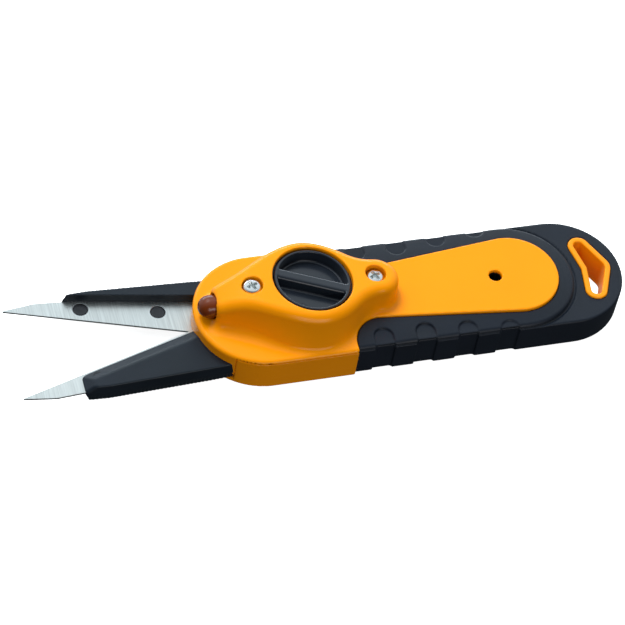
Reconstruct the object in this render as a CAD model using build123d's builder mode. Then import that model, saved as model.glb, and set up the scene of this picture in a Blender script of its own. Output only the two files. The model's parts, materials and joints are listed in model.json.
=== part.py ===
from build123d import *
import os
from math import cos, radians, sin, tan

# A one-handed snip: two mirrored blade arms that open and close like scissors, a lamp at the nose,
# a battery cap on top and a rubber handle with a lanyard eye.
# Millimetres. The underside lies on z = 0, the tool points along -X and y = 0 is its middle plane.

# ---- Overall outline ----
nose_half = 21.5          # half width of the yellow nose, and radius of its round front
nose_x = -15.3            # centre of the round front
seam_x = 11.0             # where the yellow nose meets the rubber handle
grip_half = 20.7          # half width of the handle, and radius of its round tail
tail_x = 84.3             # centre of the round tail
part_z = 11.1             # height of the seam between the lower and upper mouldings
wall = 2.0                # wall of the mouldings
floor_t = 1.4             # floor of the nose, under the arms

# ---- Handle ----
core_half = 18.2          # half width of the hard core inside the rubber
pad_x = 68.0              # centre of the round rear end of the core, the pad and the panel
pad_half = 20.3           # half width of the raised rubber pad, and radius of its rear end
pad_z = 12.7              # top of the raised rubber pad
deck_z = 9.5              # underside of the upper core in the handle
skin = 1.4                # rubber under the handle
panel_top = 13.5          # top of the yellow panel
panel_front_half = 9.9    # half width of the panel where the boss ends
panel_rear_half = 14.9    # half width of the panel at its round rear end
panel_front_x = 20.0
dimple_x = 19.96          # first finger dimple
dimple_pitch = 13.71
dimple_w = 6.3
dimple_depth = 0.9
dimple_ends = (14.0, 14.2, 15.6, 17.4)   # how far each dimple reaches in, from the middle plane

# ---- Nose and boss ----
plate_top = 12.4          # top of the nose plate around the boss
skirt_z = 8.6             # underside of the front rim, above the arms
wall_front_x = -27.5      # front end of the nose's side walls
boss_front = -30.5
boss_base_z = 12.0
boss_crown_z = 25.2
boss_wall = 1.8
rear_post_x = 20.58
# Half outlines of the boss at its foot and at its crown, front to rear.
boss_base = [(-30.5, 6.4), (-22, 10), (-15, 15), (-8, 18.4), (-1, 19.8), (6, 18.1), (11, 14.6), (15.5, 9.8)]
boss_crown = [(-30.5, 3.4), (-24, 4.6), (-18, 8), (-11, 12.6), (-1, 15), (6, 13.4), (10.5, 10.4), (14.5, 7)]
boss_base_rear_r = 7.5
boss_crown_rear_r = 6.8

# ---- Battery cap, its cup and the cell: all square to a plane that leans back ----
cap_z = 24.1
cap_lean = 4.05
cap_hole_r = 12.75
cap_r = 12.1
cap_sink = 0.5            # cap rim below the edge of its hole
cap_rim = 1.1
cap_pocket = 4.1          # depth of the finger pockets
cap_head = 5.3            # height of the cap's head
cap_bar_w = 3.8
cap_bar_turn = -22.5
cup_r = 13.8
cup_top = 2.05            # all cup depths are measured down from the lip of the hole
cup_ledge = 6.0
cup_track = 8.0
cup_pocket = 9.6
cup_floor = 13.5
cup_base = 14.8
neck_r = 11.0             # neck of the cap, in the cup's collar
track_r = 12.4
lug_r = 12.15
arrow_r = 8.8
arrow_end = 238           # angle of the arrow's head
lug_gate = 45             # angle of the gates that the cap's lugs drop into
seal_r = 10.6
seal_t = 0.8
cell_r = 10.0
cell_t = 3.2
pocket_r = 10.35

# ---- Arms and blades (the right arm is drawn, the left one is the same part turned over) ----
pivot_x = -19.5
turn_z = 5.0              # height of the shear plane, about which one arm is turned over
arm_low = 1.7
arm_high = 8.3
blade_t = 0.7
shear_gap = 0.05          # half the gap between the two blades
edge_x = -40.27           # where the two cutting edges cross
edge_turn = 17.0          # angle of a cutting edge to the middle plane
blade_tip_x = -93.75
blade_root_x = -31.0
edge_show = 1.1           # blade left showing in front of its cover
cover_slope = 4.4         # how far the cover's edge leans back
cover_tip_x = -75.0
cover_tip_lean = 3.4
arm_rear_x = -27.8
lug_half = 8.0
sleeve_r = 4.0
sleeve_bore = 3.0
pin_spots = [(-69.5, 14.3), (-45.8, 9.4)]
pin_r = 2.35
heel_x = -8.0             # the return springs press here
heel_y = 7.0
spring_r = 1.9
spring_wire = 0.3
rib_half = 1.0            # half thickness of the rib between the springs

# ---- Lamp ----
lamp_z = 16.6
lens_r = 3.6
lens_tip_x = -36.2
lens_rear_x = -27.6
led_r = 2.5
board_x = -25.2

# ---- Fasteners ----
front_screw_x = -19.5
front_head_z = 24.7
rear_head_z = 21.8
head_r = 3.0
head_t = 2.0
head_room = 0.25          # between a head and its counterbore
shank_r = 1.5
post_r = 3.4              # screw posts
collar_t = 1.3            # plastic under a screw head
tail_screw_x = 62.0
tail_well_r = 2.15
tail_seat_z = 4.2

# ---- Lanyard eye ----
eye_wall = 1.9
eye_top = 11.5
eye_fit = 0.05            # between the eye and the rubber round it
eye_lobe = (94.0, 9.2)    # centre of its far lobe; the near one mirrors it
eye_lobe_r = 3.6
eye_mid_x = 96.8          # centre of the bulge between the lobes
eye_mid_r = 4.9

os.makedirs("parts", exist_ok=True)


def cutting_edge_y(x):
    """Height of the right blade's cutting edge above the middle plane."""
    return (edge_x - x) * tan(radians(edge_turn))


def save(piece, name):
    """Label a finished piece and write it."""
    piece.label = name
    export_step(piece, f"parts/{name}.step")


def capsule(left, right, half, round_front=False, round_rear=False):
    """A strip from x = left to x = right with half-round ends, added to the current sketch."""
    with Locations(((left + right) / 2, 0)):
        Rectangle(right - left, 2 * half)
    if round_front:
        with Locations((left, 0)):
            Circle(half)
    if round_rear:
        with Locations((right, 0)):
            Circle(half)


def nose_outline(inset=0.0):
    """The yellow nose in plan."""
    capsule(nose_x, seam_x - inset, nose_half - inset, round_front=True)


def panel_outline():
    """The yellow panel of the handle in plan: a waist behind the nose, widening to a round rear end."""
    start = (seam_x, nose_half - 1.5)
    with BuildLine() as line:
        flare = Spline(start, (12, 15.4), (14.2, 12.5), (panel_front_x, panel_front_half),
                       tangents=((0, -1), (1, 0.08)))
        side = Line(flare @ 1, (pad_x, panel_rear_half))
        RadiusArc(side @ 1, (pad_x + panel_rear_half, 0), panel_rear_half)
        mirror(about=Plane.XZ)
        Line((start[0], -start[1]), start)
    make_face(line.edges())


def eye_outline(inset=0.0):
    """The lanyard eye in plan: two lobes joined through a wider middle, drawn in by inset."""
    for side in (1, -1):
        with BuildSketch(mode=Mode.PRIVATE) as half:
            with Locations((eye_lobe[0], side * eye_lobe[1])):
                Circle(eye_lobe_r - inset)
            with Locations((eye_mid_x, 0)):
                Circle(eye_mid_r - inset)
            make_hull(half.sketch.edges())
        add(half.sketch)


def boss_form(inset=0.0):
    """The raised boss: a foot outline lofted to a smaller crown, under a sloping top."""
    levels = ((boss_base_z, boss_base, boss_base_rear_r), (boss_crown_z, boss_crown, boss_crown_rear_r))
    with BuildPart() as form:
        for height, points, rear_r in levels:
            radius = rear_r - inset
            with BuildSketch(Plane.XY.offset(height)):
                with BuildLine():
                    start = (points[0][0] + inset, points[0][1] - inset)
                    inner = [(x, y - inset) for x, y in points[1:]]
                    front = Line((start[0], 0), start)
                    side = Spline(front @ 1, *inner, (rear_post_x, radius),
                                  tangents=((1, 0.25), (1, 0)))
                    RadiusArc(side @ 1, (rear_post_x + radius, 0), radius)
                    mirror(about=Plane.XZ)
                make_face()
        loft()
        # carry the foot down into the nose plate
        if inset:
            foot = form.faces().sort_by(Axis.Z)[0]
            extrude(foot, amount=boss_base_z - skirt_z + 1, dir=(0, 0, -1))
        with BuildSketch(Plane.XZ):
            with BuildLine():
                low = skirt_z - 2
                nose = Line((-40, low), (-40, 17.0 - inset))
                slope = ThreePointArc(nose @ 1, (-27, 22.4 - inset), (-14, 25.0 - inset))
                lean = Line(slope @ 1, (25.4, 22.4 - inset))
                drop = ThreePointArc(lean @ 1, (27.5 - inset, 21.3 - inset), (28.2 - inset, 19 - inset))
                Polyline(drop @ 1, (28.2 - inset, low), (-40, low))
            make_face()
        extrude(amount=30, both=True, mode=Mode.INTERSECT)
    return form.part


cap_axis = (sin(radians(cap_lean)), 0, cos(radians(cap_lean)))
cap_plane = Plane(origin=(0, 0, cap_z), x_dir=(cos(radians(cap_lean)), 0, -sin(radians(cap_lean))),
                  z_dir=cap_axis)


def disc(depth, radius, thickness, mode=Mode.ADD):
    """A round step of a piece on the cap's axis, from depth below the lip down by thickness."""
    with BuildSketch(cap_plane.offset(-depth)) as step:
        Circle(radius)
    extrude(step.sketch, amount=-thickness, mode=mode)


def dimples(z_low, z_high, reach):
    """Finger dimples down both sides: slots from outside the wall in to reach, cut between two heights."""
    for i, end in enumerate(dimple_ends):
        x = dimple_x + i * dimple_pitch
        inner = reach(end)
        with BuildSketch(Plane.XY.offset(z_low)) as slots:
            for side in (1, -1):
                with Locations((x, side * (inner + 30) / 2)):
                    Rectangle(dimple_w, 30 - inner)
                if inner < grip_half - dimple_depth:
                    with Locations((x, side * inner)):
                        Circle(dimple_w / 2)
        extrude(slots.sketch, amount=z_high - z_low, mode=Mode.SUBTRACT)


# ---------------------------------------------------------------- bottom shell
with BuildPart() as bottom_shell:
    # floor of the nose and its side walls, open at the front where the arms come out
    with BuildSketch():
        nose_outline()
    extrude(amount=floor_t)
    with BuildSketch(Plane.XY.offset(floor_t)):
        nose_outline()
        with BuildSketch(mode=Mode.SUBTRACT):
            capsule(nose_x, seam_x + wall, nose_half - wall, round_front=True)
        with Locations((wall_front_x - nose_half, 0)):
            Rectangle(2 * nose_half, 3 * nose_half, mode=Mode.SUBTRACT)
    extrude(amount=part_z - floor_t)
    # core of the handle: a tray inside the rubber, with the panel showing underneath
    with BuildSketch(Plane.XY.offset(skin)):
        capsule(seam_x - wall, pad_x, core_half, round_rear=True)
    extrude(amount=deck_z - skin)
    with BuildSketch(Plane.XY.offset(skin + wall)):
        capsule(seam_x - wall, pad_x, core_half - wall, round_rear=True)
    extrude(amount=deck_z, mode=Mode.SUBTRACT)
    with BuildSketch():
        panel_outline()
    extrude(amount=skin)
    # posts for the three case screws
    for x, radius, top, bore in ((front_screw_x, sleeve_bore - 0.05, arm_high + 0.1, shank_r),
                                 (rear_post_x, post_r, deck_z - 0.1, shank_r),
                                 (tail_screw_x, 3.0, tail_seat_z - 0.9, 1.0)):
        with BuildSketch(Plane.XY.offset(floor_t)):
            with Locations((x, 0)):
                Circle(radius)
        extrude(amount=top - floor_t)
        with BuildSketch(Plane.XY.offset(floor_t + 0.6)):
            with Locations((x, 0)):
                Circle(bore)
        extrude(amount=top, mode=Mode.SUBTRACT)
    # rib between the two return springs, and two posts under the battery cup
    with BuildSketch(Plane.XY.offset(floor_t)):
        with Locations((heel_x, 0)):
            Rectangle(6, 2 * rib_half)
        with Locations((4, 9), (4, -9)):
            Circle(1.8)
    extrude(amount=arm_high - floor_t)
save(bottom_shell.part, "bottom_shell")

# ---------------------------------------------------------------- top shell
boss = boss_form()
boss_hollow = boss_form(boss_wall)
# each case screw under the boss: its place, top of its head, foot of its post, collar and collar top
screw_posts = ((front_screw_x, front_head_z, arm_high + 0.4, 4.2, front_head_z - head_t),
               (rear_post_x, rear_head_z, deck_z, 4.9, rear_head_z + 0.8))
with BuildPart() as top_shell:
    # nose plate with a rounded shoulder, and the rim that hangs down in front of the arms
    with BuildSketch(Plane.XY.offset(part_z)):
        nose_outline()
    extrude(amount=plate_top - part_z)
    with BuildSketch(Plane.XY.offset(skirt_z)):
        nose_outline()
        with Locations((wall_front_x + nose_half + 1, 0)):
            Rectangle(2 * nose_half + 2, 3 * nose_half, mode=Mode.SUBTRACT)
    extrude(amount=part_z - skirt_z)
    shoulder = top_shell.edges().filter_by(lambda e: e.center().Z > plate_top - 0.01 and e.center().X < seam_x - 1)
    fillet(shoulder, radius=1.2)
    # deck of the handle with its raised panel
    with BuildSketch(Plane.XY.offset(deck_z)):
        capsule(seam_x - 1.5, pad_x, core_half, round_rear=True)
    extrude(amount=part_z - deck_z)
    with BuildSketch(Plane.XY.offset(part_z)):
        panel_outline()
    extrude(amount=panel_top - part_z)
    # boss, hollow inside
    add(boss)
    add(boss_hollow, mode=Mode.SUBTRACT)
    # space inside the nose for the arms and the battery cup
    with BuildSketch(Plane.XY.offset(skirt_z - 1)):
        capsule(nose_x, seam_x - 4, nose_half - wall - 1.5, round_front=True)
    extrude(amount=part_z - skirt_z + 1, mode=Mode.SUBTRACT)
    # hole for the battery cap
    disc(-3, cap_hole_r, cup_top + 3, mode=Mode.SUBTRACT)
    disc(cup_top, cup_r + 0.1, cup_base - cup_top + 3, mode=Mode.SUBTRACT)
    # screw posts under the boss, with a counterbore for each head
    for x, head_z, post_foot, collar_r, collar_top in screw_posts:
        collar_foot = head_z - head_t - collar_t
        with BuildSketch(Plane.XY.offset(post_foot)):
            with Locations((x, 0)):
                Circle(post_r)
        extrude(amount=collar_foot - post_foot)
        with BuildSketch(Plane.XY.offset(collar_foot)):
            with Locations((x, 0)):
                Circle(collar_r)
        extrude(amount=collar_top - collar_foot)
        with BuildSketch(Plane.XY.offset(head_z - head_t)):
            with Locations((x, 0)):
                Circle(head_r + head_room)
        extrude(amount=head_t + 4, mode=Mode.SUBTRACT)
        with BuildSketch(Plane.XY.offset(post_foot - 1)):
            with Locations((x, 0)):
                Circle(shank_r + 0.1)
        extrude(amount=head_z, mode=Mode.SUBTRACT)
    disc(cup_top, cup_r + 0.1, cup_base - cup_top, mode=Mode.SUBTRACT)
    # deep well for the tail screw
    with BuildSketch(Plane.XY.offset(tail_seat_z - 0.8)):
        with Locations((tail_screw_x, 0)):
            Circle(tail_well_r + 1.3)
    extrude(amount=deck_z - tail_seat_z + 0.9)
    with BuildSketch(Plane.XY.offset(tail_seat_z)):
        with Locations((tail_screw_x, 0)):
            Circle(tail_well_r)
    extrude(amount=panel_top, mode=Mode.SUBTRACT)
    with BuildSketch(Plane.XY.offset(tail_seat_z - 2)):
        with Locations((tail_screw_x, 0)):
            Circle(1.1)
    extrude(amount=4, mode=Mode.SUBTRACT)
    # hole and scoop for the lamp in the front of the boss
    with BuildSketch(Plane.YZ.offset(boss_front - 3)):
        with Locations((0, lamp_z)):
            Circle(lens_r + 0.15)
    extrude(amount=5.2, mode=Mode.SUBTRACT)
save(top_shell.part, "top_shell")

# ---------------------------------------------------------------- rubber handle
with BuildPart() as lower_grip:
    with BuildSketch():
        capsule(seam_x, tail_x, grip_half, round_rear=True)
    extrude(amount=part_z)
    fillet(lower_grip.edges().group_by(Axis.Z)[0].filter_by(lambda e: e.center().X > seam_x + 1), radius=0.8)
    # pocket for the core, and the panel showing through underneath
    with BuildSketch(Plane.XY.offset(skin)):
        capsule(seam_x - 1, pad_x, core_half, round_rear=True)
    extrude(amount=part_z, mode=Mode.SUBTRACT)
    with BuildSketch():
        panel_outline()
    extrude(amount=skin, mode=Mode.SUBTRACT)
    with BuildSketch():
        eye_outline(-eye_fit)
    extrude(amount=part_z, mode=Mode.SUBTRACT)
    dimples(0, part_z, lambda end: grip_half - dimple_depth)
save(lower_grip.part, "lower_grip")

with BuildPart() as upper_grip:
    with BuildSketch(Plane.XY.offset(part_z)):
        capsule(seam_x, pad_x, pad_half, round_rear=True)
    extrude(amount=pad_z - part_z)
    fillet(upper_grip.edges().group_by(Axis.Z)[-1].filter_by(lambda e: e.center().X > seam_x + 1), radius=1.3)
    with BuildSketch(Plane.XY.offset(part_z)):
        panel_outline()
    extrude(amount=pad_z, mode=Mode.SUBTRACT)
    dimples(part_z, pad_z - dimple_depth, lambda end: grip_half - dimple_depth)
    dimples(pad_z - dimple_depth, pad_z + 1, lambda end: end + dimple_w / 2)
save(upper_grip.part, "upper_grip")

with BuildPart() as lanyard_eye:
    with BuildSketch():
        eye_outline()
    extrude(amount=eye_top)
    with BuildSketch():
        eye_outline(eye_wall)
    extrude(amount=eye_top, mode=Mode.SUBTRACT)
    fillet(lanyard_eye.edges().group_by(Axis.Z)[-1], radius=0.5)
save(lanyard_eye.part, "lanyard_eye")

# ---------------------------------------------------------------- arms, blades and their pins
def blade_outline(grow=0.0):
    """The right blade in plan: straight edge, blunt tip, clipped corner and a back that slopes in."""
    corner = (-83.54, 18.78)
    root_back = corner[1] - (blade_root_x - corner[0]) * tan(radians(4))
    tip = (blade_tip_x, cutting_edge_y(blade_tip_x))
    with BuildLine() as line:
        Polyline((blade_root_x, cutting_edge_y(blade_root_x)), tip, (tip[0] + 0.35, tip[1] + 1.15),
                 corner, (blade_root_x, root_back), close=True)
    make_face(line.edges())
    if grow:
        offset(amount=grow, kind=Kind.INTERSECTION)


def cover_outline(lean):
    """The flat half of an arm that backs the blade, drawn in as lean goes from 0 to 1."""
    back = (edge_show + cover_slope * lean) / cos(radians(edge_turn))
    tip_x = cover_tip_x + cover_tip_lean * lean
    draft = 0.6 * lean
    with BuildLine() as line:
        Polyline((tip_x, cutting_edge_y(tip_x) + back), (tip_x, 18.9 - draft), (-67, 19.3 - draft),
                 (-35, 17.9 - draft), (arm_rear_x, 17.4 - draft),
                 (arm_rear_x, cutting_edge_y(arm_rear_x) + back), close=True)
    make_face(line.edges())


blade_low = turn_z - shear_gap - blade_t
with BuildPart() as right_arm:
    # cover under the blade: its edge and its tip lean back towards the outer face
    with BuildSketch(Plane.XY.offset(blade_low)):
        cover_outline(0)
    with BuildSketch(Plane.XY.offset(arm_low)):
        cover_outline(1)
    loft()
    # full-height spine along the outside
    with BuildSketch(Plane.XY.offset(blade_low)):
        with BuildLine():
            Polyline((cover_tip_x, 18.4), (cover_tip_x, 18.9), (-67, 19.3), (-35, 17.9),
                     (arm_rear_x, 17.4), (arm_rear_x, 10.6), close=True)
        make_face()
    with BuildSketch(Plane.XY.offset(arm_high)):
        with BuildLine():
            Polyline((cover_tip_x + cover_tip_lean, 17.8), (cover_tip_x + cover_tip_lean, 18.3), (-67, 18.7),
                     (-35, 17.3), (arm_rear_x, 16.8), (arm_rear_x, 10.6), close=True)
        make_face()
    loft()
    # root, pivot lug and heel, all below the shear plane
    with BuildSketch(Plane.XY.offset(arm_low + 0.15)):
        with BuildLine():
            Polyline((arm_rear_x - 0.01, -0.9), (arm_rear_x - 0.01, 14.6), (-25, 14.6), (-14.5, 6.2),
                     (-14, -5.8), (-20, -7.9), close=True)
        make_face()
        with Locations((pivot_x, 0)):
            Circle(lug_half)
        with BuildLine():
            Polyline((-22, -6.5), (-11.2, -heel_y - 2.2), (heel_x + 3, -heel_y - 2.2), (heel_x + 3, -heel_y),
                     (-11.2, -heel_y), (-13, -2), close=True)
        make_face()
    extrude(amount=turn_z - 0.2 - arm_low - 0.15)
    # heel: an upright pad that the return spring presses on
    with BuildSketch(Plane.XY.offset(arm_low + 0.15)):
        with Locations((heel_x, -heel_y - 1.1)):
            Rectangle(6, 2.2)
    extrude(amount=arm_high - arm_low - 0.3)
    # bore for the pivot sleeve, seat for the blade, sockets for the pins
    with BuildSketch(Plane.XY):
        with Locations((pivot_x, 0)):
            Circle(sleeve_r + 0.06)
    extrude(amount=arm_high + 1, mode=Mode.SUBTRACT)
    with BuildSketch(Plane.XY.offset(blade_low)):
        blade_outline(grow=0.08)
    extrude(amount=blade_t + 0.1, mode=Mode.SUBTRACT)
    with BuildSketch(Plane.XY.offset(blade_low - 1.6)):
        with Locations(*pin_spots):
            Circle(pin_r + 0.03)
    extrude(amount=2, mode=Mode.SUBTRACT)
save(right_arm.part, "right_arm")

with BuildPart() as right_blade:
    with BuildSketch(Plane.XY.offset(blade_low)):
        blade_outline()
        with Locations(*pin_spots):
            Circle(pin_r + 0.1, mode=Mode.SUBTRACT)
    extrude(amount=blade_t)
    # ground bevel on the side away from the other blade
    edge_dir = (-cos(radians(edge_turn)), sin(radians(edge_turn)), 0)
    bevel_plane = Plane(origin=(blade_root_x + 5, cutting_edge_y(blade_root_x + 5), blade_low),
                        x_dir=(sin(radians(edge_turn)), cos(radians(edge_turn)), 0), z_dir=edge_dir)
    with BuildSketch(bevel_plane):
        with BuildLine():
            Polyline((-1, -1), (1, -1), (1, 0), (0, blade_t - 0.12), (-1, blade_t - 0.12), close=True)
        make_face()
    extrude(amount=80, mode=Mode.SUBTRACT)
save(right_blade.part, "right_blade")

with BuildPart() as right_pins:
    with BuildSketch(Plane.XY.offset(blade_low - 1.5)):
        with Locations(*pin_spots):
            Circle(pin_r)
    extrude(amount=1.5 + blade_t - 0.05)
save(right_pins.part, "right_pins")

turn_axis = Axis((0, 0, turn_z), (1, 0, 0))
for drawn, name in ((right_arm, "left_arm"), (right_blade, "left_blade"), (right_pins, "left_pins")):
    with BuildPart() as turned:
        add(drawn.part.rotate(turn_axis, 180))
    save(turned.part, name)

# ---------------------------------------------------------------- pivot
def ring(radius, bore, low, high):
    """A plain ring round the pivot."""
    with BuildSketch(Plane.XY.offset(low)) as band:
        with Locations((pivot_x, 0)):
            Circle(radius)
            Circle(bore, mode=Mode.SUBTRACT)
    extrude(band.sketch, amount=high - low)


with BuildPart() as pivot_sleeve:
    ring(sleeve_r, sleeve_bore, floor_t, arm_high + 0.1)
save(pivot_sleeve.part, "pivot_sleeve")

with BuildPart() as pivot_washers:
    ring(6.5, sleeve_r + 0.05, floor_t, arm_low + 0.05)
    ring(6.5, sleeve_r + 0.05, turn_z - 0.15, turn_z + 0.15)
    ring(6.5, sleeve_r + 0.05, arm_high - 0.05, arm_high + 0.3)
save(pivot_washers.part, "pivot_washers")

# return springs: one from the central rib to each heel
spring_start = rib_half + spring_wire + 0.05
spring_len = heel_y - spring_start - spring_wire - 0.05
for side, name in ((-1, "right_spring"), (1, "left_spring")):
    with BuildPart() as spring:
        with BuildLine() as coil:
            Helix(pitch=spring_len / 4, height=spring_len, radius=spring_r,
                  center=(heel_x, side * spring_start, turn_z), direction=(0, side, 0))
        with BuildSketch(Plane(origin=coil.line @ 0, z_dir=coil.line % 0)):
            Circle(spring_wire)
        sweep(path=coil.line)
    save(spring.part, name)

# ---------------------------------------------------------------- battery cap and what lies under it
with BuildPart() as battery_cap:
    disc(cap_sink, cap_r, cap_head)
    disc(cap_sink, cap_r - cap_rim, cap_pocket, mode=Mode.SUBTRACT)
    # grip bar across the pocket
    with BuildSketch(cap_plane.offset(-cap_sink - cap_pocket - 0.2)):
        with Locations(Location((0, 0, 0), cap_bar_turn)):
            Rectangle(2 * cap_r - 1, cap_bar_w)
    extrude(amount=cap_pocket + 0.1)
    # neck with a groove for the seal, and two bayonet lugs
    disc(cap_sink + cap_head, neck_r, cup_pocket - cap_sink - cap_head - 0.1)
    disc(cap_sink + cap_head + 0.7, neck_r + 1, 0.8, mode=Mode.SUBTRACT)
    disc(cap_sink + cap_head + 0.6, seal_r - seal_t / 2 - 0.05, 1.0)
    with BuildSketch(cap_plane.offset(-cup_track - 0.15)):
        Rectangle(3 * lug_r, 5)
        Circle(lug_r, mode=Mode.INTERSECT)
        Circle(neck_r - 1, mode=Mode.SUBTRACT)
    extrude(amount=-1.2)
    # raised arrow in the pocket: turn this way to open
    with BuildSketch(cap_plane.offset(-cap_sink - cap_pocket)):
        with BuildLine():
            Polyline((0, 0), (-20, -2.6), (-20, -26), close=True)
        make_face()
        Circle(arrow_r + 0.25, mode=Mode.INTERSECT)
        Circle(arrow_r - 0.25, mode=Mode.SUBTRACT)
        with Locations(Location((0, 0, 0), arrow_end)):
            with Locations((arrow_r, 0)):
                Triangle(a=3, b=2.2, c=2.2, align=(Align.CENTER, Align.CENTER), rotation=0)
    extrude(amount=0.35)
save(battery_cap.part, "battery_cap")

with BuildPart() as battery_cup:
    disc(cup_top + 0.05, cup_r, cup_base - cup_top - 0.05)
    disc(cup_top, cap_r + 0.2, cup_ledge - cup_top, mode=Mode.SUBTRACT)
    disc(cup_ledge - 0.5, neck_r + 0.1, cup_pocket - cup_ledge + 0.5, mode=Mode.SUBTRACT)
    disc(cup_track, track_r, cup_pocket - cup_track, mode=Mode.SUBTRACT)
    disc(cup_pocket - 0.1, pocket_r, cup_floor - cup_pocket + 0.1, mode=Mode.SUBTRACT)
    disc(cup_floor - 0.1, 3.3, 0.5, mode=Mode.SUBTRACT)
    # two gates in the ledge, where the cap's lugs drop in before the cap is turned home
    with BuildSketch(cap_plane.offset(-cup_ledge + 0.1)):
        with Locations(Location((0, 0, 0), lug_gate)):
            Rectangle(3 * track_r, 5.6)
        Circle(track_r, mode=Mode.INTERSECT)
    extrude(amount=-(cup_track - cup_ledge + 0.3), mode=Mode.SUBTRACT)
save(battery_cup.part, "battery_cup")

with BuildPart() as cap_seal:
    seal_depth = cap_sink + cap_head + 1.1
    with BuildSketch(Plane(origin=(0, 0, cap_z), x_dir=cap_plane.x_dir, z_dir=(0, -1, 0))):
        with Locations((seal_r, -seal_depth)):
            Circle(seal_t / 2)
    revolve(axis=Axis((0, 0, cap_z), cap_axis))
save(cap_seal.part, "cap_seal")

with BuildPart() as coin_cell:
    disc(cup_floor - 0.4 - cell_t, cell_r, cell_t - 0.25)
    disc(cup_floor - 0.4 - 0.25, cell_r - 1.1, 0.25)
    fillet(coin_cell.edges().group_by(SortBy.LENGTH)[-1], radius=0.2)
save(coin_cell.part, "coin_cell")

with BuildPart() as lower_contact:
    disc(cup_floor + 0.02, 3.1, 0.3)
    disc(cup_floor - 0.38, 1.4, 0.5)
save(lower_contact.part, "lower_contact")

with BuildPart() as side_contact:
    # a short curved blade between the cell and the cup's wall
    with BuildSketch(cap_plane.offset(-cup_pocket - 0.6)):
        Circle(pocket_r - 0.02)
        Circle(cell_r + 0.03, mode=Mode.SUBTRACT)
        with Locations((pocket_r, 0)):
            Rectangle(4, 5, mode=Mode.INTERSECT)
    extrude(amount=-2.6)
save(side_contact.part, "side_contact")

# ---------------------------------------------------------------- lamp
lamp_axis = Axis((0, 0, lamp_z), (-1, 0, 0))
with BuildPart() as lamp_lens:
    with BuildSketch(Plane.XZ):
        with BuildLine():
            dome_x = lens_tip_x + lens_r
            back = Line((lens_rear_x, lamp_z + led_r + 0.2), (lens_rear_x, lamp_z + lens_r))
            top = Line(back @ 1, (dome_x, lamp_z + lens_r))
            dome = RadiusArc(top @ 1, (lens_tip_x, lamp_z), -lens_r)
            tip = Line(dome @ 1, (lens_tip_x + 1.1, lamp_z))
            hollow = RadiusArc(tip @ 1, (lens_tip_x + 1.1 + led_r + 0.2, lamp_z + led_r + 0.2), led_r + 0.2)
            Line(hollow @ 1, back @ 0)
        make_face()
    revolve(axis=lamp_axis)
save(lamp_lens.part, "lamp_lens")

with BuildPart() as lamp_led:
    led_tip = lens_tip_x + 1.4
    with BuildSketch(Plane.XZ):
        with BuildLine():
            foot = Line((lens_rear_x + 1, lamp_z), (lens_rear_x + 1, lamp_z + led_r + 0.4))
            brim = Polyline(foot @ 1, (lens_rear_x + 0.1, lamp_z + led_r + 0.4), (lens_rear_x + 0.1, lamp_z + led_r),
                            (led_tip + led_r, lamp_z + led_r))
            crown = RadiusArc(brim @ 1, (led_tip, lamp_z), -led_r)
            Line(crown @ 1, foot @ 0)
        make_face()
    revolve(axis=lamp_axis)
    # two leads, straight back to the board
    with BuildSketch(Plane.YZ.offset(lens_rear_x + 0.9)):
        with Locations((1.27, lamp_z), (-1.27, lamp_z)):
            Rectangle(0.5, 0.5)
    extrude(amount=board_x - lens_rear_x - 0.9)
save(lamp_led.part, "lamp_led")

with BuildPart() as lamp_board:
    with BuildSketch(Plane.YZ.offset(board_x)):
        with Locations((0, lamp_z - 0.4)):
            RectangleRounded(7, 6.4, 0.5)
    extrude(amount=0.8)
save(lamp_board.part, "lamp_board")

with BuildPart() as lamp_resistor:
    with BuildSketch(Plane.YZ.offset(board_x + 0.8)):
        with Locations((0, lamp_z + 0.6)):
            Rectangle(3.2, 1.6)
    extrude(amount=0.6)
save(lamp_resistor.part, "lamp_resistor")

# two insulated wires from the board back to the cup
wire_r = 0.4
wire_end_x = -13.9
for side, name in ((1, "red_wire"), (-1, "black_wire")):
    with BuildPart() as wire:
        with BuildLine() as run:
            FilletPolyline((board_x + 1.2, side * 2.4, 14.4), (board_x + 1.2, side * 3.6, 12.2),
                           (-20.5, side * 5.2, 10.9), (wire_end_x, side * 5.2, 10.9), radius=1.2)
        with BuildSketch(Plane(origin=run.line @ 0, z_dir=run.line % 0)):
            Circle(wire_r)
        sweep(path=run.line)
    save(wire.part, name)

# ---------------------------------------------------------------- screws
def cross_screw(x, top, radius, height, shank, length, name):
    """A pan-head screw with a cross recess, standing upright at x."""
    with BuildPart() as screw:
        with BuildSketch(Plane.XY.offset(top - height)):
            with Locations((x, 0)):
                Circle(radius)
        extrude(amount=height)
        fillet(screw.edges().group_by(Axis.Z)[-1], radius=height * 0.45)
        with BuildSketch(Plane.XY.offset(top)):
            with Locations((x, 0)):
                Rectangle(radius * 1.15, radius * 0.24)
                Rectangle(radius * 0.24, radius * 1.15)
        extrude(amount=-height * 0.55, mode=Mode.SUBTRACT)
        with BuildSketch(Plane.XY.offset(top - height)):
            with Locations((x, 0)):
                Circle(shank)
        extrude(amount=-length)
        chamfer(screw.edges().group_by(Axis.Z)[0], length=shank * 0.4)
    save(screw.part, name)


cross_screw(front_screw_x, front_head_z, head_r, head_t, shank_r - 0.02, 20, "front_screw")
cross_screw(rear_post_x, rear_head_z, head_r, head_t, shank_r - 0.02, 16, "rear_screw")
cross_screw(tail_screw_x, tail_seat_z + 1.3, 1.9, 1.3, 0.98, 2.1, "tail_screw")
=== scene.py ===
import json
from math import cos, radians, sin

import bpy
import numpy as np
from mathutils import Matrix, Vector


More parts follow.
